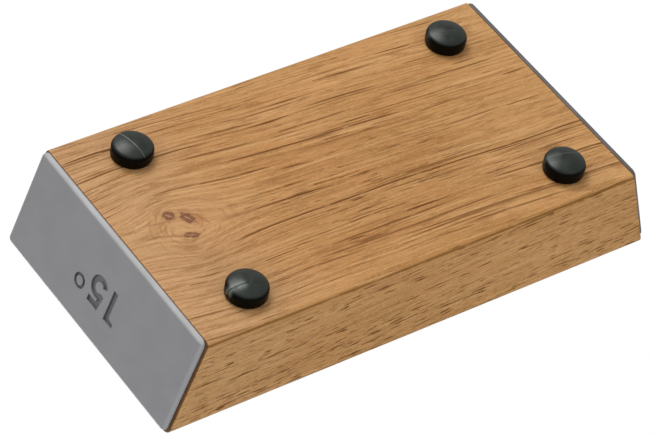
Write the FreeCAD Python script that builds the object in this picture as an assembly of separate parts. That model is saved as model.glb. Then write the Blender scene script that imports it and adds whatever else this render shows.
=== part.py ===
# Bench strop for honing carving knives: a hardwood block that carries a strip of
# leather on its top face and stands on four push-in rubber feet. Both ends are cut
# out of square, at 15 and 20 degrees, and faced with a rubber pad, so that the block
# can also be stood on end with the leather leaning by that angle.
#
# Frame: millimetres, +Z up, the block's length along X with its 15 degree end at -X.
# The origin is the middle of the footprint, at the bottom of the feet.
import FreeCAD, Part
import math
import os
from FreeCAD import Base, Vector

# Block
BLOCK_THICKNESS = 31.75  # planed 1 1/4 inch board
BLOCK_WIDTH = 81.2
FOOT_FACE_LENGTH = 144.0  # the shorter, lower face
LEFT_SLOPE = 15.0  # each end's angle from square, in degrees
RIGHT_SLOPE = 20.0
TOP_EDGE_RADIUS = 2.3  # the two long edges beside the leather
BOTTOM_EDGE_RADIUS = 1.5  # the two long edges of the foot face
END_EDGE_RADIUS = 0.5  # the eased edges round the end faces

# Rubber feet
FOOT_DIAMETER = 12.0
FOOT_HEIGHT = 5.3
FOOT_DOME_RADIUS = 13.0
FOOT_FLAT_DIAMETER = 2.4  # the flat spot in the dome's middle that it stands on
FOOT_SHOULDER_RADIUS = 1.6  # from the dome round to the straight wall
FOOT_RIM_RADIUS = 0.8  # where the head meets the wood
FOOT_SPACING_X = 107.5
FOOT_SPACING_Y = 57.8
FOOT_PATTERN_SHIFT_X = -0.5  # the drilled pattern sits a little off the middle
FOOT_PATTERN_SHIFT_Y = 0.65
FOOT_PATTERN_SKEW = 0.35  # and the front row is this far +X in it, the back row -X

# Feet stems, pressed into blind holes
BORE_DIAMETER = 5.2
BORE_DEPTH = 10.0
STEM_DIAMETER = 4.2
STEM_LENGTH = 8.6
BARB_CLEARANCE = 0.02  # left between a seated barb and the bore
BARB_HEIGHT = 1.4
BARB_PITCH = 2.3
BARB_COUNT = 3
FIRST_BARB = 1.0  # from the wood's face to the first barb's base

# Rubber end pads, alike but for their marks, and the films that hold them
PAD_LENGTH = 31.92  # up the slope
PAD_THICKNESS = 1.25
END_FILM = 0.1
PAD_FRONT_INSET = 0.3
PAD_BACK_INSET = 1.0
PAD_FOOT_INSET = 0.15
PAD_FOOT_CORNER_RADIUS = 2.0
PAD_TOP_CORNER_RADIUS = 1.6
PAD_RIM_RADIUS = 1.1
FILM_INSET = 1.0

# Recessed angle marks
DIGIT_HEIGHT = 10.0
STROKE = 2.0
RING_STROKE = 0.95
RING_DIAMETER = 4.7
DIGIT_GAP = 1.75
MARK_DEPTH = 0.75
MARK_RISE = 1.6  # the marks sit this far up the slope from the pad's middle,
MARK_SHIFT = 1.6  # and this far from the block's middle towards their degree sign

# Leather and its glue
LEATHER_THICKNESS = 2.8
LEATHER_INSET = 3.2
LEATHER_CORNER_RADIUS = 3.0
LEATHER_EDGE_RADIUS = 0.5
GLUE_THICKNESS = 0.15
GLUE_INSET = 1.0

FOOT_FACE_Z = FOOT_HEIGHT
TOP_FACE_Z = FOOT_FACE_Z + BLOCK_THICKNESS


def overhang(slope):
    """How far the top face runs past the foot face at an end of this slope."""
    return BLOCK_THICKNESS * math.tan(math.radians(slope))


# The top face's middle is at X 0, and the feet are drilled about it.
TOP_LENGTH = FOOT_FACE_LENGTH + overhang(LEFT_SLOPE) + overhang(RIGHT_SLOPE)
TOP_LEFT_X = -TOP_LENGTH / 2
TOP_RIGHT_X = TOP_LENGTH / 2
FOOT_LEFT_X = TOP_LEFT_X + overhang(LEFT_SLOPE)
FOOT_RIGHT_X = TOP_RIGHT_X - overhang(RIGHT_SLOPE)


def polygon_prism(points, direction):
    """A solid swept from a closed polygon along a direction."""
    return Part.Face(Part.makePolygon(points + [points[0]])).extrude(direction)


def rounded_slab(length, width, thickness, corner_radius):
    """A flat slab centred on X and Y, on Z 0, with its four upright corners rounded."""
    slab = Part.makeBox(length, width, thickness, Vector(-length / 2, -width / 2, 0))
    upright = [e for e in slab.Edges if is_along(e, Vector(0, 0, 1))]
    return slab.makeFillet(corner_radius, upright)


def is_along(edge, direction):
    """True if an edge is straight and parallel to a direction."""
    if not isinstance(edge.Curve, (Part.Line, Part.LineSegment)):
        return False
    return abs(edge.tangentAt(edge.FirstParameter).dot(direction)) > 0.999


def foot_positions():
    """The feet's node names and their centres on the foot face."""
    spots = {}
    for row, side_y in (("front", -1), ("back", 1)):
        for column, side_x in (("left", -1), ("right", 1)):
            x = side_x * FOOT_SPACING_X / 2 + FOOT_PATTERN_SHIFT_X - side_y * FOOT_PATTERN_SKEW
            y = side_y * FOOT_SPACING_Y / 2 + FOOT_PATTERN_SHIFT_Y
            spots[f"foot_{row}_{column}"] = Vector(x, y, FOOT_FACE_Z)
    return spots


def make_block():
    """The oak block: a tapered-end prism with eased edges and four blind foot holes."""
    half_width = BLOCK_WIDTH / 2
    profile = [
        Vector(FOOT_LEFT_X, -half_width, FOOT_FACE_Z),
        Vector(FOOT_RIGHT_X, -half_width, FOOT_FACE_Z),
        Vector(TOP_RIGHT_X, -half_width, TOP_FACE_Z),
        Vector(TOP_LEFT_X, -half_width, TOP_FACE_Z),
    ]
    block = polygon_prism(profile, Vector(0, BLOCK_WIDTH, 0))

    def long_edges_at(z):
        long_way = Vector(1, 0, 0)
        return [e for e in block.Edges if abs(e.CenterOfMass.z - z) < 0.01 and is_along(e, long_way)]

    block = block.makeFillet(TOP_EDGE_RADIUS, long_edges_at(TOP_FACE_Z))
    block = block.makeFillet(BOTTOM_EDGE_RADIUS, long_edges_at(FOOT_FACE_Z))
    ends = [f for f in block.Faces if abs(f.normalAt(0, 0).x) > 0.9]
    block = block.makeFillet(END_EDGE_RADIUS, [e for f in ends for e in f.Edges])
    for spot in foot_positions().values():
        block = block.cut(Part.makeCylinder(BORE_DIAMETER / 2, BORE_DEPTH, spot))
    return block


def arc_edge(centre, radius, first, last):
    """An arc in the XZ plane, its angles in radians counted from straight down."""

    def spot(angle):
        return centre + Vector(radius * math.sin(angle), 0, -radius * math.cos(angle))

    return Part.Arc(spot(first), spot((first + last) / 2), spot(last)).toShape()


def foot_profile():
    """Half of a foot's section, in the XZ plane about its own axis, stem up."""
    radius = FOOT_DIAMETER / 2
    flat_x = FOOT_FLAT_DIAMETER / 2
    shoulder_x = radius - FOOT_SHOULDER_RADIUS
    rim = Vector(radius - FOOT_RIM_RADIUS, 0, -FOOT_RIM_RADIUS)

    # The shoulder's circle touches the dome's from inside, so the two run on smoothly.
    apart = FOOT_DOME_RADIUS - FOOT_SHOULDER_RADIUS
    dome = Vector(0, 0, -FOOT_HEIGHT + math.sqrt(FOOT_DOME_RADIUS**2 - flat_x**2))
    shoulder = Vector(shoulder_x, 0, dome.z - math.sqrt(apart**2 - shoulder_x**2))
    flat_angle = math.asin(flat_x / FOOT_DOME_RADIUS)
    meeting_angle = math.asin(shoulder_x / apart)

    bottom = Vector(0, 0, -FOOT_HEIGHT)
    edges = [
        Part.makeLine(bottom, Vector(flat_x, 0, -FOOT_HEIGHT)),
        arc_edge(dome, FOOT_DOME_RADIUS, flat_angle, meeting_angle),
        arc_edge(shoulder, FOOT_SHOULDER_RADIUS, meeting_angle, math.pi / 2),
        Part.makeLine(Vector(radius, 0, shoulder.z), Vector(radius, 0, rim.z)),
        arc_edge(rim, FOOT_RIM_RADIUS, math.pi / 2, math.pi),
    ]
    stem = [Vector(rim.x, 0, 0)] + stem_points()
    edges += [Part.makeLine(a, b) for a, b in zip(stem, stem[1:])]
    edges.append(Part.makeLine(stem[-1], bottom))
    return edges


def stem_points():
    """The stem's outline from the wood's face up to its tip, with its barbs."""
    stem_x = STEM_DIAMETER / 2
    barb_x = BORE_DIAMETER / 2 - BARB_CLEARANCE
    points = [Vector(stem_x, 0, 0)]
    for i in range(BARB_COUNT):
        base = FIRST_BARB + i * BARB_PITCH
        points.append(Vector(stem_x, 0, base))
        points.append(Vector(barb_x, 0, base))
        points.append(Vector(stem_x, 0, base + BARB_HEIGHT))
    points.append(Vector(stem_x, 0, STEM_LENGTH - stem_x / 2))
    points.append(Vector(stem_x / 2, 0, STEM_LENGTH))
    points.append(Vector(0, 0, STEM_LENGTH))
    return points


def make_foot(spot):
    """A moulded rubber foot: a domed button head below the wood, a barbed stem inside."""
    section = Part.Face(Part.Wire(foot_profile()))
    foot = section.revolve(Vector(0, 0, 0), Vector(0, 0, 1), 360)
    foot.translate(spot)
    return foot


def end_frame(side):
    """An end face's size up its slope, and the placement that puts a slab's XY on it.

    The slab's X is to the right of someone who faces the end with the leather on top,
    its Y is up the slope and its Z is outward. Its origin is the end face's middle.
    """
    slope = LEFT_SLOPE if side < 0 else RIGHT_SLOPE
    top_x = TOP_LEFT_X if side < 0 else TOP_RIGHT_X
    angle = math.radians(slope)
    height = BLOCK_THICKNESS / math.cos(angle)
    outward = Vector(side * math.cos(angle), 0, -math.sin(angle))
    up = Vector(side * math.sin(angle), 0, math.cos(angle))
    right = up.cross(outward)
    middle = Vector(top_x, 0, TOP_FACE_Z) - up * (height / 2)
    return height, Base.Placement(middle, Base.Rotation(right, up, outward, "ZXY"))


def bar(start, end, width):
    """A straight stroke with square ends, MARK_DEPTH thick, on Z 0."""
    a, b = Vector(*start, 0), Vector(*end, 0)
    along = (b - a).normalize()
    across = Vector(-along.y, along.x, 0) * (width / 2)
    return polygon_prism([a - across, b - across, b + across, a + across], Vector(0, 0, MARK_DEPTH))


def arc_stroke(centre, radius, first_angle, last_angle, width):
    """A stroke along a circle's arc, its angles in degrees counted anticlockwise."""
    spot = Vector(*centre, 0)
    sweep = last_angle - first_angle
    up = Vector(0, 0, 1)
    outer = Part.makeCylinder(radius + width / 2, MARK_DEPTH, spot, up, sweep)
    inner = Part.makeCylinder(radius - width / 2, MARK_DEPTH, spot, up, 360)
    stroke = outer.cut(inner)
    stroke.rotate(spot, up, first_angle)
    return stroke


def digit_one():
    """The strokes of a 1 and its width: an upright and a short flag."""
    width = 4.2
    flag_tip, flag_root = 1.3, 2.1  # the flag's thickness at its two ends
    upright = bar((width - STROKE / 2, 0), (width - STROKE / 2, DIGIT_HEIGHT), STROKE)
    flag_points = [
        Vector(0, DIGIT_HEIGHT, 0),
        Vector(0, DIGIT_HEIGHT - flag_tip, 0),
        Vector(width - STROKE / 2, DIGIT_HEIGHT - flag_root, 0),
        Vector(width - STROKE / 2, DIGIT_HEIGHT, 0),
    ]
    return [upright, polygon_prism(flag_points, Vector(0, 0, MARK_DEPTH))], width


def digit_two():
    """The strokes of a 2 and its width: a round top, a diagonal and a base."""
    width, top_radius = 7.0, 2.5
    centre = (width / 2, DIGIT_HEIGHT - top_radius - STROKE / 2)
    turn = math.radians(-45)  # where the round top runs straight into the diagonal
    leave = (centre[0] + top_radius * math.cos(turn), centre[1] + top_radius * math.sin(turn))
    base_y = STROKE / 2
    run = leave[1] - base_y
    return [
        arc_stroke(centre, top_radius, -45, 170, STROKE),
        bar(leave, (leave[0] - run, base_y), STROKE),
        bar((leave[0] - run - STROKE / 2, base_y), (width, base_y), STROKE),
    ], width


def digit_five():
    """The strokes of a 5 and its width: a top bar, a short stem and a round bowl."""
    width, bowl_radius = 7.3, 2.65
    bowl = (width - bowl_radius - STROKE / 2, bowl_radius + STROKE / 2)
    top_y = DIGIT_HEIGHT - STROKE / 2
    return [
        arc_stroke(bowl, bowl_radius, -155, 130, STROKE),
        bar((1.6, bowl[1] + 1.2), (2.5, DIGIT_HEIGHT), STROKE * 0.9),
        bar((1.9, top_y), (width - 0.8, top_y), STROKE),
    ], width


def digit_zero():
    """The stroke of a 0 and its width: an oval ring."""
    width = 7.2
    middle = Vector(width / 2, DIGIT_HEIGHT / 2, 0)

    def oval(inset):
        curve = Part.Ellipse(middle, DIGIT_HEIGHT / 2 - inset, width / 2 - inset).toShape()
        curve.rotate(middle, Vector(0, 0, 1), 90)
        return Part.Face(Part.Wire(curve)).extrude(Vector(0, 0, MARK_DEPTH))

    return [oval(0).cut(oval(STROKE))], width


def degree_ring():
    """The stroke of a degree sign and its width: a small ring level with the digits."""
    centre = (RING_DIAMETER / 2, DIGIT_HEIGHT - RING_DIAMETER / 2)
    radius = RING_DIAMETER / 2 - RING_STROKE / 2
    return [arc_stroke(centre, radius, 0, 360, RING_STROKE)], RING_DIAMETER


def make_mark(characters):
    """One solid for a row of characters, centred on X 0 and Y 0."""
    strokes, x = [], 0
    for character in characters:
        shapes, width = character()
        for shape in shapes:
            shape.translate(Vector(x, 0, 0))
        strokes += shapes
        x += width + DIGIT_GAP
    mark = strokes[0].multiFuse(strokes[1:]).removeSplitter()
    mark.translate(Vector(-(x - DIGIT_GAP) / 2, -DIGIT_HEIGHT / 2, 0))
    return mark


def pad_foot(side):
    """Where a pad's outline starts up the slope, from the end face's middle."""
    return -end_frame(side)[0] / 2 + PAD_FOOT_INSET


def end_slab(side, base, thickness, inset):
    """A slab in an end's frame, from Z base, this far inside the outline of the pad."""
    front, back = -BLOCK_WIDTH / 2 + PAD_FRONT_INSET + inset, BLOCK_WIDTH / 2 - PAD_BACK_INSET - inset
    left = front if side > 0 else -back
    foot = pad_foot(side) + inset
    tall = PAD_LENGTH - 2 * inset
    slab = Part.makeBox(back - front, tall, thickness, Vector(left, foot, base))
    upright = [e for e in slab.Edges if is_along(e, Vector(0, 0, 1))]
    at_foot = [e for e in upright if e.CenterOfMass.y < foot + tall / 2]
    slab = slab.makeFillet(PAD_FOOT_CORNER_RADIUS - inset, at_foot)
    upright = [e for e in slab.Edges if is_along(e, Vector(0, 0, 1))]
    at_top = [e for e in upright if e.CenterOfMass.y > foot + tall - 0.01]
    return slab.makeFillet(PAD_TOP_CORNER_RADIUS - inset, at_top)


def make_end_pad(side, characters):
    """A rubber pad with a rounded rim and its angle recessed in the outer face."""
    outer_z = END_FILM + PAD_THICKNESS
    pad = end_slab(side, END_FILM, PAD_THICKNESS, 0)
    rim = [e for e in pad.Edges if abs(e.BoundBox.ZMin - outer_z) < 0.01]
    pad = pad.makeFillet(PAD_RIM_RADIUS, rim)
    mark = make_mark(characters)
    rise = pad_foot(side) + PAD_LENGTH / 2 + MARK_RISE
    mark.translate(Vector(MARK_SHIFT, rise, outer_z - MARK_DEPTH))
    pad = pad.cut(mark)
    pad.Placement = end_frame(side)[1]
    return pad


def make_end_film(side):
    """The adhesive film between an end face and its pad."""
    film = end_slab(side, 0, END_FILM, FILM_INSET)
    film.Placement = end_frame(side)[1]
    return film


def make_glue():
    """The film of contact glue between the block and the leather."""
    length = TOP_LENGTH - 2 * (LEATHER_INSET + GLUE_INSET)
    width = BLOCK_WIDTH - 2 * (LEATHER_INSET + GLUE_INSET)
    glue = rounded_slab(length, width, GLUE_THICKNESS, LEATHER_CORNER_RADIUS - GLUE_INSET)
    glue.translate(Vector(0, 0, TOP_FACE_Z))
    return glue


def make_leather():
    """The leather strip, with its upper edge rounded over."""
    length = TOP_LENGTH - 2 * LEATHER_INSET
    width = BLOCK_WIDTH - 2 * LEATHER_INSET
    leather = rounded_slab(length, width, LEATHER_THICKNESS, LEATHER_CORNER_RADIUS)
    upper = [e for e in leather.Edges if abs(e.BoundBox.ZMin - LEATHER_THICKNESS) < 0.01]
    leather = leather.makeFillet(LEATHER_EDGE_RADIUS, upper)
    leather.translate(Vector(0, 0, TOP_FACE_Z + GLUE_THICKNESS))
    return leather


def make_parts():
    """Every sub-part by its node name, with the origin at the middle of the footprint."""
    parts = {
        "oak_block": make_block(),
        "leather_strip": make_leather(),
        "leather_glue": make_glue(),
        "end_pad_15": make_end_pad(-1, [digit_one, digit_five, degree_ring]),
        "end_pad_20": make_end_pad(1, [digit_two, digit_zero, degree_ring]),
        "end_film_15": make_end_film(-1),
        "end_film_20": make_end_film(1),
    }
    for name, spot in foot_positions().items():
        parts[name] = make_foot(spot)
    whole = Part.makeCompound(list(parts.values())).optimalBoundingBox()
    for shape in parts.values():
        shape.translate(Vector(-whole.Center.x, -whole.Center.y, -whole.ZMin))
    return parts


os.makedirs("parts", exist_ok=True)
for node, shape in make_parts().items():
    if not shape.isValid() or len(shape.Solids) != 1:
        raise ValueError(f"{node} is not one valid solid")
    box = shape.optimalBoundingBox()
    print(f"{node:18s} {shape.Volume:11.2f} mm3  X {box.XMin:8.3f} {box.XMax:8.3f}"
          f"  Y {box.YMin:8.3f} {box.YMax:8.3f}  Z {box.ZMin:7.3f} {box.ZMax:7.3f}")
    shape.exportStep(f"parts/{node}.step")
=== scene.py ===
import math

import bmesh
import bpy
from mathutils import Matrix, Vector, noise


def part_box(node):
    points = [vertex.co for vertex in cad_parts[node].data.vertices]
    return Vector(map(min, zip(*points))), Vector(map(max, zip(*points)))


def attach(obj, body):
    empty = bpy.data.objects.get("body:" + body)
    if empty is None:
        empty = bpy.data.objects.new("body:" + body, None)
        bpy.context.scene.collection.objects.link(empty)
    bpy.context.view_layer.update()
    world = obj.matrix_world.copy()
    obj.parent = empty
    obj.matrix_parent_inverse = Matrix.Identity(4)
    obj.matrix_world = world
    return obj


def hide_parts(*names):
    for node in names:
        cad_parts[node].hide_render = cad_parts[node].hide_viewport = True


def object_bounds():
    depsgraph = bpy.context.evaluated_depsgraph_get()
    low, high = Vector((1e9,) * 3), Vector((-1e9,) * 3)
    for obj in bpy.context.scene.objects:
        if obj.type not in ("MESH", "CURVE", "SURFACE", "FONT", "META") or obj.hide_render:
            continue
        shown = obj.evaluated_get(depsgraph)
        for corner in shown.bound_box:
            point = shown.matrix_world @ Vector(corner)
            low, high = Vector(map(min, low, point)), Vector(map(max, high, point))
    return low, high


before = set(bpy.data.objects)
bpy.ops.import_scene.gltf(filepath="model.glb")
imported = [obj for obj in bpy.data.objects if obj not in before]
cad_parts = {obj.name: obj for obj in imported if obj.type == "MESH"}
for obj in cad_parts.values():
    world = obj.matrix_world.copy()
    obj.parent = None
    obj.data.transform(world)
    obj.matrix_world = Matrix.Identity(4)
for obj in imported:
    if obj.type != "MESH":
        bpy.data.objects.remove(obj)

CAD_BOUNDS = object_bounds()
BLOCK_LOW, BLOCK_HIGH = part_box("oak_block")
MM = 0.001

# Camera. The object is looked at from below, with its feet uppermost in the picture.
CAMERA_TARGET = Vector((-18.373, 15.218, 5.325)) * MM
CAMERA_DISTANCE = 920.145 * MM
CAMERA_AZIMUTH = 223.278
CAMERA_ELEVATION = -43.9
CAMERA_ROLL = 12.262
CAMERA_LENS = 187.22

# Light
AMBIENT = 0.46  # the white room's light, where the camera sees plain white
FLOOR_HALF_SIDE = 3.0
FLOOR_DROP = 0.05 * MM

# Feet
FOOT_DOME_RADIUS = 13.0 * MM
FOOT_FLAT_RADIUS = 1.2 * MM
FOOT_SHOULDER_RADIUS = 1.6 * MM
FOOT_RIM_RADIUS = 0.8 * MM
STEM_RADIUS = 2.1 * MM
BARB_RADIUS = 2.58 * MM
BARB_STEPS = (1.0 * MM, 3.3 * MM, 5.6 * MM)
BARB_HEIGHT = 1.4 * MM
FOOT_SEGMENTS = 160

# Each foot's mould seam: turn from X in degrees, millimetres off the middle, how far
# it is raised (negative: sunk; this also sets a raised seam's painted highlight) and
# how pale the rubber beside it is in patches.
FOOT_SEAMS = {
    "foot_front_left": (82.0, 0.45, 0.36, 0.0),
    "foot_front_right": (20.0, 0.5, 0.06, 0.15),
    "foot_back_left": (10.0, 0.8, -1.0, 0.6),
    "foot_back_right": (16.0, -1.6, 0.14, 0.15),
}

# Leather
LEATHER_CORNER_RADIUS = 3.0 * MM
LEATHER_EDGE_RADIUS = 0.5 * MM
LEATHER_GRID = 1.25 * MM


def srgb(red, green, blue):
    """A colour given as a screen shows it, 0 to 255, as the linear colour of a node."""
    def linear(level):
        level /= 255
        return level / 12.92 if level <= 0.04045 else ((level + 0.055) / 1.055) ** 2.4
    return (linear(red), linear(green), linear(blue), 1.0)


# ---------------------------------------------------------------- materials


class Field:
    """A value that a material works out at each point. Arithmetic on it adds nodes."""

    def __init__(self, shader, socket):
        self.shader = shader
        self.socket = socket

    def __add__(self, other):
        return self.shader.math("ADD", self, other)

    __radd__ = __add__

    def __sub__(self, other):
        return self.shader.math("SUBTRACT", self, other)

    def __rsub__(self, other):
        return self.shader.math("SUBTRACT", other, self)

    def __mul__(self, other):
        return self.shader.math("MULTIPLY", self, other)

    __rmul__ = __mul__

    def __truediv__(self, other):
        return self.shader.math("DIVIDE", self, other)

    def __pow__(self, other):
        return self.shader.math("POWER", self, other)


class Shader:
    """A material with one Principled shader, and short names for the nodes that feed it."""

    def __init__(self, name):
        self.material = bpy.data.materials.new(name)
        self.material.use_nodes = True
        self.nodes = self.material.node_tree.nodes
        self.links = self.material.node_tree.links
        self.principled = self.nodes["Principled BSDF"]

    def node(self, kind, **settings):
        made = self.nodes.new(kind)
        for key, value in settings.items():
            setattr(made, key, value)
        return made

    def plug(self, value, socket):
        """Links a Field to a socket, or sets the socket to a plain value."""
        if isinstance(value, Field):
            self.links.new(value.socket, socket)
        else:
            socket.default_value = value

    def math(self, operation, *values):
        made = self.node("ShaderNodeMath", operation=operation)
        for value, socket in zip(values, made.inputs):
            self.plug(value, socket)
        return Field(self, made.outputs[0])

    def millimetres(self):
        """The point's X, Y and Z in the row frame, in millimetres."""
        split = self.node("ShaderNodeSeparateXYZ")
        self.links.new(self.node("ShaderNodeTexCoord").outputs["Object"], split.inputs[0])
        return [Field(self, socket) * 1000.0 for socket in split.outputs]

    def vector(self, x, y, z):
        made = self.node("ShaderNodeCombineXYZ")
        for value, socket in zip((x, y, z), made.inputs):
            self.plug(value, socket)
        return Field(self, made.outputs[0])

    def noise(self, x, y, z, detail=2.0, roughness=0.5):
        """Smooth noise, mostly 0.3 to 0.7, with features about one unit across."""
        made = self.node("ShaderNodeTexNoise", noise_dimensions="3D")
        self.plug(self.vector(x, y, z), made.inputs["Vector"])
        made.inputs["Scale"].default_value = 1.0
        made.inputs["Detail"].default_value = detail
        made.inputs["Roughness"].default_value = roughness
        return Field(self, made.outputs[0])

    def cells(self, x, y, z, feature="F1"):
        """The distance to a cell's centre or edge, for cells about one unit across."""
        made = self.node("ShaderNodeTexVoronoi", voronoi_dimensions="3D", feature=feature)
        self.plug(self.vector(x, y, z), made.inputs["Vector"])
        made.inputs["Scale"].default_value = 1.0
        return Field(self, made.outputs["Distance"])

    def blend(self, value, low, high, first=0.0, last=1.0):
        """Goes smoothly from first to last as the value goes from low to high."""
        made = self.node("ShaderNodeMapRange", interpolation_type="SMOOTHSTEP")
        for number, socket in zip((value, low, high, first, last), made.inputs):
            self.plug(number, socket)
        return Field(self, made.outputs[0])

    def mix(self, share, first, last):
        """The first colour where share is 0, the last where it is 1."""
        made = self.node("ShaderNodeMix", data_type="RGBA")
        self.plug(share, made.inputs["Factor"])
        self.plug(first, made.inputs[6])
        self.plug(last, made.inputs[7])
        return Field(self, made.outputs[2])

    def normal(self):
        """The surface normal's X, Y and Z."""
        split = self.node("ShaderNodeSeparateXYZ")
        self.links.new(self.node("ShaderNodeTexCoord").outputs["Normal"], split.inputs[0])
        return [Field(self, socket) for socket in split.outputs]

    def finish(self, colour, roughness, height_mm=None, **values):
        """Plugs colour, roughness and height, in millimetres, into the shader."""
        self.plug(colour, self.principled.inputs["Base Color"])
        self.plug(roughness, self.principled.inputs["Roughness"])
        if height_mm is not None:
            bump = self.node("ShaderNodeBump")
            bump.inputs["Strength"].default_value = 1.0
            bump.inputs["Distance"].default_value = MM
            self.plug(height_mm, bump.inputs["Height"])
            self.links.new(bump.outputs[0], self.principled.inputs["Normal"])
        for name, value in values.items():
            self.plug(value, self.principled.inputs[name.replace("_", " ")])
        return self.material


# The pin knots on the foot face: middle X and Y, half length and half width in
# millimetres, and the turn of the length from X in degrees.
PIN_KNOTS = (
    (-57.1, -4.0, 1.6, 1.4, 60.0),
    (-52.8, -1.0, 2.0, 1.3, 66.0),
    (-55.4, 4.8, 2.0, 0.9, 22.0),
)
BLIND_KNOT = (-58.2, 9.0, 3.0, 1.4, 15.0)
KNOT_TAILS = ((-60.6, 2.9, 5.5, 0.5, 20.0), (-61.2, -2.6, 3.5, 0.5, 10.0))
ARCS_X, ARCS_Y = -52.8, 0.5  # the middle of the faint arcs on the knots' +X side
SWIRL_X, SWIRL_Y = -56.0, 2.0  # the middle of the grain's detour round the knots
SWIRL_HALF_Y = 12.5
GRAIN_SLOPE = 0.056  # the grain's drift towards +Y along the block
SIDE_SLOPE = 0.05  # the same, towards the leather, on the long sides
SIDE_Y = BLOCK_HIGH.y / MM  # how far the long sides are from the block's middle

# The long grain lines of the foot face: how far across the grain, the X they start and
# end at, in millimetres, and their strength.
LONG_LINES = (
    (-30.8, 11.0, 29.0, 0.8),
    (-29.1, -47.0, -36.0, 0.7),
    (-26.8, -76.0, -59.0, 0.7),
    (-25.6, -21.0, 6.0, 0.8),
    (-22.7, 1.0, 24.0, 0.9),
    (-22.9, -33.0, -16.0, 0.8),
    (-19.8, 37.0, 64.0, 0.8),
    (-19.6, -76.0, -32.0, 0.9),
    (-18.3, 24.0, 36.0, 0.8),
    (-16.6, -15.0, 13.0, 0.8),
    (-15.5, -43.0, -21.0, 0.9),
    (-10.9, -33.0, 25.0, 1.0),
    (-5.6, -58.0, -28.0, 0.7),
    (-2.1, 32.0, 52.0, 0.7),
    (1.3, -33.0, -15.0, 0.9),
    (11.6, -46.0, 75.0, 1.0),
    (13.1, 44.0, 75.0, 0.7),
    (21.4, 33.0, 75.0, 0.9),
    (24.4, -23.0, 17.0, 0.8),
    (27.5, -28.0, 31.0, 0.8),
    (29.5, 37.0, 75.0, 0.8),
    (32.5, -76.0, -60.0, 0.8),
    (33.2, 17.0, 49.0, 0.8),
    (40.8, -76.0, -54.0, 0.7),
)
EDGE_SHADE_RISE = 0.95  # a line of painted shade runs this far up the long sides, on the rounded edge


class Grain:
    """Where a point of the oak is, in millimetres, along and across its grain."""

    def __init__(self, s):
        self.x, self.y, self.z = x, y, z = s.millimetres()
        normal_x, _, self.normal_z = s.normal()
        self.on_side = s.blend(s.math("ABSOLUTE", y), SIDE_Y - 1.0, SIDE_Y - 0.2)
        self.on_face = 1 - self.on_side
        self.on_end = s.blend(s.math("ABSOLUTE", normal_x), 0.2, 0.75)

        # The grain parts round the knots and closes again, more slowly on the +X side.
        dx, dy = x - SWIRL_X, y - SWIRL_Y
        self.swirl_x = dx / s.blend(dx, -6.0, 8.0, 10.0, 17.0)
        self.swirl_y = dy / SWIRL_HALF_Y
        swirl = self.swirl_x ** 2.0 + self.swirl_y ** 2.0
        self.radius = s.math("SQRT", swirl)
        detour = swirl / (swirl + 0.55)
        slow_y = (s.noise(x / 60, y / 26, z / 26, 1.0) - 0.5) * 4.0
        self.slow_z = (s.noise(x / 70 + 7.3, y / 30, z / 30, 0.0) - 0.5) * 1.6
        quick = (s.noise(x / 13, y / 5, z / 5 + 2.7, 1.0) - 0.5) * 0.25
        self.across = dy * detour + SWIRL_Y - x * GRAIN_SLOPE + slow_y + quick
        self.depth = z + x * SIDE_SLOPE * self.on_side + self.slow_z + quick * self.on_side

        # Heart is 0 in the brown middle of the foot face. Breaks is 1 where a long line
        # shows and 0 where it is broken.
        self.heart = s.math("SQRT", (x / 50.0) ** 2.0 + ((y - 6.0) / 26.0) ** 2.0)
        self.breaks = s.blend(s.noise(x / 8, self.across / 3, self.depth / 3, 2.0), 0.26, 0.40)


def contours(s, values, half_width):
    """Thin lines where a noise passes its middle value."""
    away = s.math("ABSOLUTE", values - 0.5)
    return s.blend(away, half_width, half_width * 0.35)


def face_pores(s, grain):
    """Open pores on the foot face: long, thin, dark lines that run on and taper."""
    x, across, depth = grain.x, grain.across, grain.depth
    out_of_swirl = s.blend(grain.radius, 0.5, 1.0)
    spread = s.noise(x / 30, across / 2.4, depth / 2.4, 1.0)
    crowded = s.noise(x / 55 + 6.4, across / 13, depth / 13, 0.0)
    crowded = s.blend(crowded, 0.35, 0.6, 0.35, 1.0)
    lines = contours(s, s.noise(x / 170, across / 2.7, depth / 2.7, 0.0), 0.04)
    lines = lines * s.blend(spread, 0.46, 0.58) * crowded * 0.75
    gaps = s.noise(x / 13 + 8.1, across / 1.2, depth / 1.2, 1.0)
    thin = contours(s, s.noise(x / 100 + 4.1, across / 1.15, depth / 1.15, 0.0), 0.05)
    thin = thin * s.blend(gaps, 0.54, 0.66) * crowded * 0.45
    pores = s.math("MAXIMUM", lines, thin)
    hollows = s.noise(x / 24, across / 0.7, depth / 0.7, 1.0, 0.35)
    pores = s.math("MAXIMUM", pores, s.blend(hollows, 0.72, 0.75)) * out_of_swirl
    flames = s.noise(x / 9 + 2.2, across / 0.5, depth / 0.5, 2.0, 0.5)
    flames = s.blend(flames, 0.635, 0.675) * s.blend(grain.heart, 1.2, 0.4) * 0.8
    pores = s.math("MAXIMUM", pores, flames * out_of_swirl)
    for middle, first_x, last_x, strength in LONG_LINES:
        line = s.blend(s.math("ABSOLUTE", across - middle), 0.42, 0.12) * grain.breaks
        line = line * s.blend(x, first_x - 4, first_x + 6) * s.blend(x, last_x + 4, last_x - 6)
        pores = s.math("MAXIMUM", pores, line * strength)
    return pores


def side_pores(s, grain):
    """The same pores cut across on the long sides: short dashes in loose rows."""
    x, depth, behind = grain.x, grain.depth, grain.y / 40
    rows = s.noise(x / 60, depth / 1.9, 3.3, 0.0) * 0.34 + depth * 0.0012
    dashes = s.noise(x / 6.2, depth / 0.66, behind, 0.5, 0.3) + rows
    short = s.noise(x / 2.8, depth / 0.5, behind + 5.1, 0.0) + rows
    dashes = s.blend(dashes, 0.874, 0.911)
    return s.math("MAXIMUM", dashes, s.blend(short, 0.888, 0.926) * 0.5)


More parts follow.
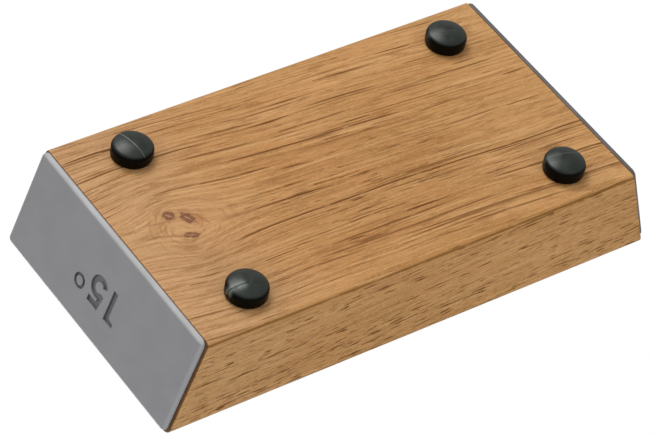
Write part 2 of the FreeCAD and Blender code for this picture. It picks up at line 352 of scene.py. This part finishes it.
def edge_shade_line(s, grain):
    """A dark line of painted shade on the +Y side, just above the foot face, on the rounded
    edge.
    """
    rise = grain.z - BLOCK_LOW.z / MM - EDGE_SHADE_RISE + grain.slow_z * 0.2
    line = s.blend(s.math("ABSOLUTE", rise), 0.6, 0.1)
    line = line * s.blend(grain.y, SIDE_Y - 1.2, SIDE_Y - 0.4)
    return line * (grain.breaks * 0.35 + 0.65)


def wood_tones(s, grain, fibres, flecks):
    """The oak's softer colour: broad tones, brown patches, streaks, fibres and flecks."""
    x, y, z, across, depth = grain.x, grain.y, grain.z, grain.across, grain.depth
    tones = s.noise(x / 50 + 1.9, across / 8, depth / 8, 1.0)
    patches = s.noise(x / 13, across / 2.2, depth / 2.2, 4.0, 0.6)
    patches = s.blend(patches, 0.53, 0.68) * grain.on_face
    streaks = s.noise(x / 34, across / 0.7, depth / 0.7, 2.0)
    warmth = s.noise(x / 16 + 3.3, y / 9, z / 9, 1.0)
    heart = s.blend(grain.heart, 1.15, 0.3) * grain.on_face

    colour = s.mix(s.blend(tones, 0.34, 0.66), srgb(203, 152, 95), srgb(187, 135, 77))
    colour = s.mix(heart * 0.5, colour, srgb(176, 123, 66))
    colour = s.mix(s.blend(warmth, 0.4, 0.62) * 0.3, colour, srgb(203, 142, 86))
    colour = s.mix(s.blend(x, -25.0, -65.0) * 0.5, colour, srgb(207, 165, 122))
    colour = s.mix(s.blend(x, 20.0, 62.0) * 0.3 * grain.on_face, colour, srgb(216, 166, 108))
    colour = s.mix(grain.on_side * 0.45, colour, srgb(194, 147, 88))
    colour = s.mix(s.blend(streaks, 0.50, 0.70) * 0.5, colour, srgb(152, 100, 45))
    colour = s.mix(s.blend(streaks, 0.46, 0.30) * 0.45, colour, srgb(222, 178, 122))
    colour = s.mix(patches * 0.55, colour, srgb(146, 94, 41))
    colour = s.mix(s.blend(fibres, 0.50, 0.72) * 0.6, colour, srgb(150, 98, 46))
    return s.mix(s.blend(flecks, 0.52, 0.75) * 0.25, colour, srgb(228, 186, 134))


def add_swirl(s, grain, colour):
    """The pale wood round the knots, with its faint curved lines, over a colour."""
    x, y, z, radius = grain.x, grain.y, grain.z, grain.radius
    angle_x, angle_y = grain.swirl_x / (radius + 0.05), grain.swirl_y / (radius + 0.05)
    curl = radius + (s.noise(x / 5, y / 5, z / 20, 1.0) - 0.5) * 0.2
    curved = s.noise(angle_x * 1.5, angle_y * 1.5, curl * 13.0, 1.0)
    in_swirl = s.blend(radius, 1.1, 0.7) * grain.on_face
    colour = s.mix(in_swirl * 0.35, colour, srgb(196, 146, 94))
    curved = s.blend(curved, 0.48, 0.70) * in_swirl * s.blend(radius, 0.12, 0.4)
    return s.mix(curved * 0.55, colour, srgb(154, 102, 54))


def knot_distance(s, x, y, knot):
    """How far a point is from a knot's middle, where 1 is the knot's edge."""
    middle_x, middle_y, half_length, half_width, turn = knot
    c, n = math.cos(math.radians(turn)), math.sin(math.radians(turn))
    dx, dy = x - middle_x, y - middle_y
    along = (dx * c + dy * n) / half_length
    across = (dy * c - dx * n) / half_width
    return s.math("SQRT", along * along + across * across)


def add_knots(s, grain, colour):
    """The pin knots over a colour: the new colour, and their height in millimetres."""
    x, y, z = grain.x, grain.y, grain.z
    wobble = (s.noise(x / 1.0, y / 1.0, z / 6, 3.0) - 0.5) * 1.2
    blotches = s.blend(s.noise(x / 0.9 + 2.2, y / 0.9, z / 6, 1.0), 0.36, 0.58)
    height = 0.0
    for knot in PIN_KNOTS:
        middle_x, middle_y, half_length, half_width, turn = knot
        away = knot_distance(s, x, y, knot) + wobble
        ring = s.blend(away, 1.35, 0.95) * s.blend(away, 0.2, 0.7) * (blotches * 0.6 + 0.4)
        inside = s.blend(away, 1.3, 0.8)
        slit = (middle_x, middle_y, half_length * 0.75, half_width * 0.14, turn)
        pale = s.blend(knot_distance(s, x, y, slit) + wobble, 1.3, 0.6)
        colour = s.mix(s.blend(away, 2.2, 1.1) * 0.35, colour, srgb(166, 112, 66))
        colour = s.mix(inside * 0.7, colour, srgb(134, 84, 54))
        colour = s.mix(ring * 0.65, colour, srgb(100, 58, 32))
        colour = s.mix(pale * 0.5, colour, srgb(212, 166, 136))
        height = ring * (-0.1) + pale * 0.05 + height

    blind = s.blend(knot_distance(s, x, y, BLIND_KNOT) + wobble, 1.5, 0.2) * 0.8
    for tail in KNOT_TAILS:
        soft = s.blend(knot_distance(s, x, y, tail) + wobble, 1.5, 0.2)
        blind = s.math("MAXIMUM", blind, soft)
    colour = s.mix(blind * 0.5, colour, srgb(140, 94, 48))

    away = knot_distance(s, x, y, (ARCS_X, ARCS_Y, 1.0, 1.0, 0.0)) + wobble * 0.3
    arcs = s.blend(s.noise(away * 1.1, 0.3, 0.7, 1.0), 0.48, 0.66)
    arcs = arcs * s.blend(away, 6.5, 4.5) * s.blend(x, ARCS_X, ARCS_X + 2)
    colour = s.mix(arcs * 0.35 * grain.on_face, colour, srgb(160, 98, 62))
    return colour, height


def oak():
    """Flat-sawn oak, sanded and left bare, with a few pin knots near the 15 degree end."""
    s = Shader("oak_wood")
    grain = Grain(s)
    x, y, z = grain.x, grain.y, grain.z
    pores = face_pores(s, grain) * grain.on_face + side_pores(s, grain) * grain.on_side
    fibres = s.noise(x / 5, grain.across / 0.3, grain.depth / 0.3, 2.0, 0.6)
    flecks = s.noise(x / 1.1 + 5.5, y / 0.45, z / 0.45, 1.0)

    colour = add_swirl(s, grain, wood_tones(s, grain, fibres, flecks))
    pore_colour = s.mix(s.noise(x / 3, y, z, 1.0), srgb(86, 46, 5), srgb(126, 76, 22))
    pore_colour = s.mix(grain.on_side * 0.4, pore_colour, srgb(128, 82, 30))
    colour = s.mix(pores * 0.9, colour, pore_colour)
    # Painted shade where the rounded edge meets the +Y side.
    colour = s.mix(edge_shade_line(s, grain) * 0.85, colour, srgb(130, 84, 22))
    colour, knots_height = add_knots(s, grain, colour)

    # Darker end grain, partly the wood's own tone and partly painted shade from the pads.
    colour = s.mix(grain.on_end * 0.9, colour, srgb(84, 54, 28))
    # Painted shade on the eased edges by the leather, where less light reaches them.
    eased_edge_shade = s.blend(grain.normal_z, 0.15, 0.7) * s.blend(grain.normal_z, 0.999, 0.98)
    colour = s.mix(eased_edge_shade * 0.35, colour, srgb(128, 96, 62))

    height = pores * (-0.1) + fibres * 0.03 + flecks * 0.012 + knots_height
    roughness = s.blend(pores, 0.0, 1.0, 0.55, 0.8) + (fibres - 0.5) * 0.15
    return s.finish(colour, roughness, height, Specular_IOR_Level=0.3)


# Each pad's side of the block, its slope in degrees, and the colours painted on its rounded
# edges by the foot face and by the +Y side: painted highlights at 15 degrees, painted shade at
# 20.
PADS = {
    "end_pad_15": (-1, 15.0, srgb(200, 199, 199), srgb(182, 183, 186)),
    "end_pad_20": (1, 20.0, srgb(66, 56, 46), srgb(46, 42, 42)),
}


def pad_rubber(node, side, slope, foot_rim_painted_light, side_rim_painted_light):
    """Grey moulded rubber with a faint mottle, painted shade in the recessed marks, painted
    light on its rims.
    """
    angle = math.radians(slope)
    outward = Vector((side * math.cos(angle), 0, -math.sin(angle)))
    face = max(vertex.co.dot(outward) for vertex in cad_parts[node].data.vertices)
    s = Shader(f"grey_rubber_{node}")
    x, y, z = s.millimetres()
    sunk = face / MM - x * outward.x - z * outward.z
    low, high = (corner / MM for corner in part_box(node))
    inner = s.blend(s.math("ABSOLUTE", y), 17.0, 16.0)
    inner = inner * s.blend(z, low.z + 2.5, low.z + 3.5) * s.blend(z, high.z - 2.5, high.z - 3.5)
    recess_shade = s.blend(sunk, 0.1, 0.7) * inner
    by_foot = s.blend(z, low.z + 1.15, low.z + 0.2)
    by_side = s.blend(y, high.y - 1.3, high.y - 0.3)
    mottle = s.noise(x / 9, y / 9, z / 9, 3.0)
    grain = s.noise(x / 0.25, y / 0.25, z / 0.25, 2.0)
    specks = s.blend(s.noise(x / 0.7, y / 0.7, z / 0.7, 1.0), 0.72, 0.8)
    colour = s.mix(s.blend(mottle, 0.35, 0.65), srgb(135, 135, 138), srgb(140, 140, 143))
    colour = s.mix(s.blend(grain, 0.4, 0.7) * 0.15, colour, srgb(118, 119, 121))
    colour = s.mix(specks * 0.3, colour, srgb(160, 158, 154))
    # Painted light on the rounded edges: highlights on the 15 degree pad, shade on the 20 degree
    # pad.
    colour = s.mix(by_side * 0.5, colour, side_rim_painted_light)
    colour = s.mix(by_foot * (mottle * 0.6 + 0.3), colour, foot_rim_painted_light)
    # Painted shade in the recessed marks.
    colour = s.mix(recess_shade * 0.6, colour, srgb(88, 89, 91))
    roughness = s.blend(mottle, 0.3, 0.7, 0.5, 0.62)
    return s.finish(colour, roughness, grain * 0.02 + mottle * 0.05, Specular_IOR_Level=0.4)


def foot_rubber(node, turn, offset, raised, pale_patches):
    """Black moulded rubber with a satin skin, scuffs and the seam of a two-part mould.

    The seam runs across the head, turned from X by some degrees and off its middle by
    some millimetres. A raised seam is painted pale, a painted highlight along its ridge,
    and fades towards one end. A sunk one is painted black, painted shade in its groove,
    and stops at the middle. The rubber beside it is paler in patches. The head's sides
    are painted near black, as painted shade.
    """
    s = Shader(f"black_rubber_{node}")
    x, y, z = s.millimetres()
    low, high = (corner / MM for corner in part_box(node))
    dx, dy = x - (low.x + high.x) / 2, y - (low.y + high.y) / 2
    c, n = math.cos(math.radians(turn)), math.sin(math.radians(turn))
    mottle = s.noise(x / 2.5, y / 2.5, z / 2.5, 3.0)
    grain = s.noise(x / 0.25, y / 0.25, z / 0.25, 2.0)
    scuffs = s.blend(s.noise(x / 1.6 + y / 0.9, y / 0.16 - x / 0.3, z / 0.4, 1.0), 0.70, 0.80)
    crown = s.blend(s.normal()[2], -0.5, -0.93)

    along = dx * c + dy * n
    away = s.math("ABSOLUTE", dy * c - dx * n - offset + (mottle - 0.5) * 0.4)
    if raised > 0:
        kept = crown * s.blend(along, 0.5, 3.5, 1.0, 0.45)
    else:
        kept = s.blend(along, 0.6, -0.2)
    seam = s.blend(away, 0.2, 0.06) * kept
    beside = s.blend(away, 1.9, 0.4) * s.blend(mottle, 0.36, 0.56) * s.blend(along, -0.2, -2.0)

    colour = s.mix(s.blend(mottle, 0.35, 0.65), srgb(27, 33, 28), srgb(36, 43, 36))
    colour = s.mix(scuffs * 0.3, colour, srgb(90, 94, 88))
    # Painted shade: the head's sides, away from the crown, are painted near black.
    colour = s.mix(1 - crown, colour, srgb(3, 4, 3))
    colour = s.mix(beside * pale_patches, colour, srgb(118, 126, 118))
    # Painted highlight along a raised seam's ridge, painted shade in a sunk seam's groove.
    if raised > 0:
        colour = s.mix(seam * raised, colour, srgb(178, 186, 160))
    else:
        colour = s.mix(seam, colour, srgb(2, 3, 2))
    roughness = s.blend(mottle, 0.3, 0.7, 0.32, 0.40) + scuffs * 0.2
    height = grain * 0.008 + mottle * 0.04 + seam * (0.1 * raised)
    return s.finish(colour, roughness, height, Specular_IOR_Level=crown * 0.36 + 0.08)


def leather():
    """Undyed vegetable-tanned leather, smooth side out, with a burnished edge."""
    s = Shader("tanned_leather")
    x, y, z = s.millimetres()
    cloud = s.noise(x / 26, y / 18, z / 18, 5.0, 0.6)
    warp = s.noise(x / 1.5, y / 1.5, z / 1.5, 2.0)
    creases = s.cells(x / 0.75 + warp, y / 0.62 + warp, z / 0.6, "DISTANCE_TO_EDGE")
    crease = s.blend(creases, 0.16, 0.02)
    fine = s.noise(x / 0.3, y / 0.3, z / 0.3, 2.0)
    hairs = s.blend(s.cells(x / 1.3, y / 1.1, z / 1.1), 0.16, 0.05)
    side = s.blend(s.math("ABSOLUTE", s.normal()[2]), 0.75, 0.3)
    layers = s.noise(x / 6, y / 6, z / 0.16, 2.0)
    strokes = s.blend(s.noise(x / 35, y / 0.3, 0.5, 1.0), 0.58, 0.72)
    colour = s.mix(s.blend(cloud, 0.34, 0.68), srgb(196, 150, 104), srgb(186, 138, 92))
    colour = s.mix(crease * 0.35, colour, srgb(140, 94, 56))
    colour = s.mix(hairs * 0.4, colour, srgb(128, 84, 50))
    colour = s.mix(s.blend(fine, 0.5, 0.75) * 0.25, colour, srgb(216, 176, 132))
    colour = s.mix(strokes * 0.14, colour, srgb(126, 88, 56))
    colour = s.mix(side * 0.55, colour, srgb(138, 92, 56))
    colour = s.mix(side * s.blend(layers, 0.45, 0.65) * 0.5, colour, srgb(176, 130, 88))
    roughness = s.blend(cloud, 0.3, 0.7, 0.5, 0.64) + crease * 0.1
    height = crease * (-0.05) + hairs * (-0.04) + fine * 0.03 + side * layers * 0.12
    return s.finish(colour, roughness, height, Specular_IOR_Level=0.4)


def contact_glue():
    """Dried contact glue, amber, drawn out in ridges."""
    s = Shader("dried_glue")
    x, y, z = s.millimetres()
    ridges = s.noise(x / 2.5, y / 0.7, z / 0.5, 2.0)
    colour = s.mix(s.blend(ridges, 0.35, 0.65), srgb(150, 112, 62), srgb(112, 78, 40))
    return s.finish(colour, s.blend(ridges, 0.3, 0.7, 0.3, 0.5), ridges * 0.08)


def adhesive_film():
    """A thin adhesive film, brown from the wood behind it."""
    s = Shader("thin_film")
    x, y, z = s.millimetres()
    patches = s.noise(x / 4, y / 4, z / 4, 2.0)
    colour = s.mix(s.blend(patches, 0.35, 0.65), srgb(92, 66, 44), srgb(70, 50, 34))
    return s.finish(colour, s.blend(patches, 0.3, 0.7, 0.4, 0.6), patches * 0.04)


# ------------------------------------------------------------------- meshes


def new_piece(name, mesh, material):
    """Puts a mesh in the scene as a piece of the object, in the frame as it is."""
    mesh.materials.append(material)
    mesh.shade_smooth()
    piece = bpy.data.objects.new(name, mesh)
    bpy.context.scene.collection.objects.link(piece)
    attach(piece, "root")
    return piece


def arc_points(middle_r, middle_z, radius, first, last, count):
    """Points of a circle in the radius and height plane, its angles in degrees."""
    points = []
    for i in range(count + 1):
        angle = math.radians(first + (last - first) * i / count)
        points.append((middle_r + radius * math.cos(angle), middle_z + radius * math.sin(angle)))
    return points


def foot_outline(radius, head, stem):
    """A foot's outline as (radius, height) from its bottom to its stem's tip.

    Heights count from the wood's face: the head is below it and the stem above.
    """
    apart = FOOT_DOME_RADIUS - FOOT_SHOULDER_RADIUS
    shoulder_r = radius - FOOT_SHOULDER_RADIUS
    dome_z = -head + math.sqrt(FOOT_DOME_RADIUS**2 - FOOT_FLAT_RADIUS**2)
    shoulder_z = dome_z - math.sqrt(apart**2 - shoulder_r**2)
    first = math.degrees(math.asin(FOOT_FLAT_RADIUS / FOOT_DOME_RADIUS)) - 90
    meeting = math.degrees(math.asin(shoulder_r / apart)) - 90
    flat = [(FOOT_FLAT_RADIUS * i / 3, -head) for i in range(1, 3)]
    dome = arc_points(0, dome_z, FOOT_DOME_RADIUS, first, meeting, 12)
    shoulder = arc_points(shoulder_r, shoulder_z, FOOT_SHOULDER_RADIUS, meeting, 0, 14)
    rim = arc_points(radius - FOOT_RIM_RADIUS, -FOOT_RIM_RADIUS, FOOT_RIM_RADIUS, 0, 90, 6)
    points = flat + dome[:-1] + shoulder + rim + [(STEM_RADIUS, 0)]
    for base in BARB_STEPS:
        points += [(STEM_RADIUS, base), (BARB_RADIUS, base), (STEM_RADIUS, base + BARB_HEIGHT)]
    return points + [(STEM_RADIUS, stem - STEM_RADIUS / 2), (STEM_RADIUS / 2, stem)]


def revolve(outline, centre, bottom):
    """A closed mesh turned about Z from an outline, with its two ends on the axis."""
    bm = bmesh.new()
    rings = []
    for r, z in outline:
        rings.append([
            bm.verts.new((
                centre.x + r * math.cos(2 * math.pi * i / FOOT_SEGMENTS),
                centre.y + r * math.sin(2 * math.pi * i / FOOT_SEGMENTS),
                centre.z + z,
            ))
            for i in range(FOOT_SEGMENTS)
        ])
    low = bm.verts.new((centre.x, centre.y, bottom))
    high = bm.verts.new((centre.x, centre.y, centre.z + outline[-1][1]))
    for i in range(FOOT_SEGMENTS):
        j = (i + 1) % FOOT_SEGMENTS
        bm.faces.new((low, rings[0][j], rings[0][i]))
        bm.faces.new((high, rings[-1][i], rings[-1][j]))
        for lower, upper in zip(rings, rings[1:]):
            bm.faces.new((lower[i], lower[j], upper[j], upper[i]))
    return bm


def make_foot(node, material):
    """A rubber foot in a CAD foot's place."""
    low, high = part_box(node)
    centre = Vector(((low.x + high.x) / 2, (low.y + high.y) / 2, BLOCK_LOW.z))
    outline = foot_outline((high.x - low.x) / 2, BLOCK_LOW.z - low.z, high.z - BLOCK_LOW.z)
    bm = revolve(outline, centre, low.z)
    mesh = bpy.data.meshes.new(node + "_moulded")
    bm.to_mesh(mesh)
    bm.free()
    piece = new_piece(node + "_moulded", mesh, material)
    mesh.set_sharp_from_angle(angle=math.radians(50))
    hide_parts(node)


def round_corner(x, y, half_x, half_y, radius):
    """Moves a point of a rectangle's corner square into the corner's quarter disc."""
    over_x = abs(x) - (half_x - radius)
    over_y = abs(y) - (half_y - radius)
    if over_x <= 0 or over_y <= 0:
        return x, y
    scale = max(over_x, over_y) / math.hypot(over_x, over_y)
    return (
        math.copysign(half_x - radius + over_x * scale, x),
        math.copysign(half_y - radius + over_y * scale, y),
    )


def leather_surface(x, y):
    """How far the leather's face dips below flat at a point."""
    broad = noise.noise(Vector((x, y, 0)) / (28 * MM))
    fine = noise.noise(Vector((x, y, 1)) / (9 * MM))
    return -0.03 * MM * (1 + broad + 0.5 * fine)


def make_leather(material):
    """The leather strip: a slab with a softly uneven face and rounded upper edges."""
    low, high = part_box("leather_strip")
    middle = (low + high) / 2
    half_x, half_y = (high.x - low.x) / 2, (high.y - low.y) / 2
    columns = round(2 * half_x / LEATHER_GRID)
    rows = round(2 * half_y / LEATHER_GRID)
    steps = 5
    rim = [
        (LEATHER_EDGE_RADIUS * (1 - math.sin(a)), LEATHER_EDGE_RADIUS * (1 - math.cos(a)))
        for a in (math.pi / 2 * i / steps for i in range(steps + 1))
    ]
    straight = high.z - low.z - LEATHER_EDGE_RADIUS
    wall = [(0.0, LEATHER_EDGE_RADIUS + straight * i / 4) for i in range(1, 5)]

    def spot(column, row, inset, drop):
        x = (2 * column / columns - 1) * (half_x - inset)
        y = (2 * row / rows - 1) * (half_y - inset)
        x, y = round_corner(x, y, half_x - inset, half_y - inset, LEATHER_CORNER_RADIUS - inset)
        fray = noise.noise(Vector((x, y, drop)) / (4 * MM)) * 0.05 * MM
        shrink = 1 - (0.05 * MM + fray) / half_y if drop > 0 else 1.0
        z = high.z - drop + (leather_surface(x, y) if drop < high.z - low.z - 1e-6 else 0)
        return middle.x + x * shrink, middle.y + y * shrink, z

    bm = bmesh.new()
    top = {
        (c, r): bm.verts.new(spot(c, r, *rim[0]))
        for c in range(columns + 1)
        for r in range(rows + 1)
    }
    for c in range(columns):
        for r in range(rows):
            bm.faces.new((top[c, r], top[c + 1, r], top[c + 1, r + 1], top[c, r + 1]))
    edge = [(c, 0) for c in range(columns)] + [(columns, r) for r in range(rows)]
    edge += [(c, rows) for c in range(columns, 0, -1)] + [(0, r) for r in range(rows, 0, -1)]
    loop = [top[key] for key in edge]
    for inset, drop in rim[1:] + wall:
        lower = [bm.verts.new(spot(c, r, inset, drop)) for c, r in edge]
        for i in range(len(edge)):
            j = (i + 1) % len(edge)
            bm.faces.new((loop[i], lower[i], lower[j], loop[j]))
        loop = lower
    bm.faces.new(loop[::-1])
    bmesh.ops.recalc_face_normals(bm, faces=bm.faces[:])
    mesh = bpy.data.meshes.new("leather_face")
    bm.to_mesh(mesh)
    bm.free()
    piece = new_piece("leather_face", mesh, material)
    mesh.set_sharp_from_angle(angle=math.radians(50))
    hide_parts("leather_strip")


def dress(node, material):
    """Gives a CAD node a better material."""
    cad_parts[node].data.materials[0] = material


# ----------------------------------------------------- floor, light, camera


def floor_paint():
    """A pale floor seen from above only, so that a camera below it sees the object.

    It is darker by the block, as a contact shadow, and fades to white far away.
    """
    s = Shader("pale_floor")
    x, y, _ = s.millimetres()
    half = (CAD_BOUNDS[1] - CAD_BOUNDS[0]) / (2 * MM)
    out_x = s.math("MAXIMUM", s.math("ABSOLUTE", x) - half.x, 0.0)
    out_y = s.math("MAXIMUM", s.math("ABSOLUTE", y) - half.y, 0.0)
    away = s.math("SQRT", out_x * out_x + out_y * out_y)
    colour = s.mix(s.blend(away, 9.0, -6.0), srgb(236, 236, 236), srgb(160, 160, 160))
    far = s.blend(s.math("SQRT", x * x + y * y), 250.0, 1300.0)
    geometry = s.node("ShaderNodeNewGeometry")
    diffuse = s.node("ShaderNodeBsdfDiffuse")
    s.plug(colour, diffuse.inputs["Color"])
    white = s.node("ShaderNodeEmission")
    faded = s.node("ShaderNodeMixShader")
    s.plug(far, faded.inputs["Fac"])
    s.links.new(diffuse.outputs[0], faded.inputs[1])
    s.links.new(white.outputs[0], faded.inputs[2])
    clear = s.node("ShaderNodeBsdfTransparent")
    either = s.node("ShaderNodeMixShader")
    s.links.new(geometry.outputs["Backfacing"], either.inputs["Fac"])
    s.links.new(faded.outputs[0], either.inputs[1])
    s.links.new(clear.outputs[0], either.inputs[2])
    s.links.new(either.outputs[0], s.nodes["Material Output"].inputs["Surface"])
    s.nodes.remove(s.principled)
    return s.material


def make_floor():
    """The floor that the feet stand on, which throws no light back at the object."""
    bm = bmesh.new()
    bmesh.ops.create_grid(bm, x_segments=2, y_segments=2, size=FLOOR_HALF_SIDE)
    mesh = bpy.data.meshes.new("floor")
    bm.to_mesh(mesh)
    bm.free()
    mesh.materials.append(floor_paint())
    floor = bpy.data.objects.new("floor", mesh)
    floor.location.z = -FLOOR_DROP
    bpy.context.scene.collection.objects.link(floor)
    floor.visible_diffuse = False
    floor.visible_glossy = False
    floor.visible_transmission = False
    floor.visible_shadow = False


def make_world():
    """A white room: plain white to the camera, and a softer light on the object."""
    world = bpy.data.worlds.new("white_room")
    bpy.context.scene.world = world
    world.use_nodes = True
    nodes, links = world.node_tree.nodes, world.node_tree.links
    seen = nodes.new("ShaderNodeMapRange")
    seen.inputs["To Min"].default_value = AMBIENT
    seen.inputs["To Max"].default_value = 1.0
    links.new(nodes.new("ShaderNodeLightPath").outputs["Is Camera Ray"], seen.inputs["Value"])
    background = nodes["Background"]
    background.inputs["Color"].default_value = (1, 1, 1, 1)
    links.new(seen.outputs[0], background.inputs["Strength"])


def make_light(name, direction, distance, size, power, glossy=True):
    """A square soft box that looks at the object's middle from a direction."""
    light = bpy.data.lights.new(name, "AREA")
    light.shape = "SQUARE"
    light.size = size
    light.energy = power
    lamp = bpy.data.objects.new(name, light)
    bpy.context.scene.collection.objects.link(lamp)
    target = (CAD_BOUNDS[0] + CAD_BOUNDS[1]) / 2
    towards = Vector(direction).normalized()
    lamp.location = target + towards * distance
    lamp.rotation_mode = "QUATERNION"
    lamp.rotation_quaternion = towards.to_track_quat("Z", "Y")
    lamp.visible_camera = False
    lamp.visible_glossy = glossy


def make_camera():
    """The camera, turned so that the feet are uppermost in the picture."""
    azimuth, elevation, roll = (
        math.radians(angle) for angle in (CAMERA_AZIMUTH, CAMERA_ELEVATION, CAMERA_ROLL)
    )
    back = Vector((
        math.sin(azimuth) * math.cos(elevation),
        -math.cos(azimuth) * math.cos(elevation),
        math.sin(elevation),
    ))
    right = Vector((0, 0, -1)).cross(back).normalized()
    up = back.cross(right)
    rolled_right = right * math.cos(roll) + up * math.sin(roll)
    rolled_up = up * math.cos(roll) - right * math.sin(roll)
    data = bpy.data.cameras.new("camera")
    data.sensor_width = 36.0
    data.lens = CAMERA_LENS
    data.clip_start = 0.05
    data.clip_end = 20.0
    camera = bpy.data.objects.new("camera", data)
    bpy.context.scene.collection.objects.link(camera)
    turned = Matrix((rolled_right, rolled_up, back)).transposed().to_4x4()
    camera.matrix_world = Matrix.Translation(CAMERA_TARGET + back * CAMERA_DISTANCE) @ turned
    bpy.context.scene.camera = camera


make_camera()
make_world()
make_floor()
make_light("key_on_feet", (-0.05, -0.53, -0.80), 1.1, 0.55, 5.6)
make_light("fill_on_pad", (-0.95, -0.15, -0.40), 1.2, 0.9, 4.0, glossy=False)
make_light("fill_on_side", (0.10, 0.95, -0.25), 1.2, 0.55, 4.4, glossy=False)
make_light("key_on_leather", (-0.35, -0.45, 0.90), 1.1, 0.7, 6.0)
bpy.context.scene.view_settings.view_transform = "Standard"

dress("oak_block", oak())
for pad, (side, slope, foot_rim_painted_light, side_rim_painted_light) in PADS.items():
    dress(pad, pad_rubber(pad, side, slope, foot_rim_painted_light, side_rim_painted_light))
films = adhesive_film()
dress("end_film_15", films)
dress("end_film_20", films)
dress("leather_glue", contact_glue())
make_leather(leather())
for foot, seam in FOOT_SEAMS.items():
    make_foot(foot, foot_rubber(foot, *seam))
